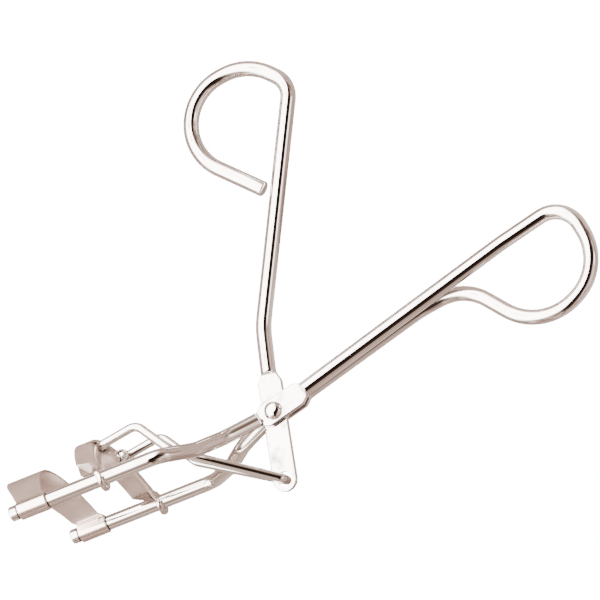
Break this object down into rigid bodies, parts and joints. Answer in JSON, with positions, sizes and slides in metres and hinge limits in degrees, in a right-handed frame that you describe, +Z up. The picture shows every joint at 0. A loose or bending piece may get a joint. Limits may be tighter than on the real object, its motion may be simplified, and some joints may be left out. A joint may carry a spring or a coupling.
{
  "type": "eyelash curler",
  "caption": "Eyelash curler: bent wire frame with fixed jaw, wire lever with finger loop, forked link and sliding rubber-lined jaw.",
  "frame": {"origin": "centre of the footprint on the table, under the tool lying on its side", "axes": "+X along the tool from the jaws towards the loop of the fixed handle, +Y towards the lever loop, +Z up from the table; the tool leans 13.3 degrees because it rests on one rail bend and both finger loops"},
  "size_m": [0.103, 0.0696, 0.0362],
  "materials": {
    "plated_wire": "bright nickel plating, mirror polished wire",
    "plated_sheet": "nickel plating over pressed sheet, slightly satin",
    "pad_rubber": "matt pale silicone rubber"
  },
  "bodies": {
    "frame": {"frame_wire": "plated_wire", "fixed_jaw": "plated_sheet", "pivot_rivet": "plated_wire"},
    "lever": {"lever": "plated_wire"},
    "jaw": {"moving_jaw": "plated_sheet", "lash_pad": "pad_rubber"},
    "link": {"link_yoke": "plated_wire"}
  },
  "joints": [
    {"name": "lever_pivot", "type": "hinge", "parent": "frame", "child": "lever", "pos_m": [-0.0062, -0.02185, 0.01203], "axis": [-0.1813, -0.1427, -0.973], "range_deg": [-8, 30]},
    {"name": "jaw_slide", "type": "slide", "parent": "frame", "child": "jaw", "axis": [-0.9833, 0.0131, 0.1813], "range_m": [-0.00175, 0.0065]},
    {"name": "link_swing", "type": "hinge", "parent": "jaw", "child": "link", "pos_m": [-0.03369, -0.01761, 0.01653], "axis": [0.1813, 0.1427, 0.973], "range_deg": [-1.3, 4.7]}
  ],
  "couplings": [
    {"joint": "jaw_slide", "follows": "lever_pivot", "m_per_rad": 0.01237},
    {"joint": "link_swing", "follows": "lever_pivot", "ratio": 0.1536}
  ]
}
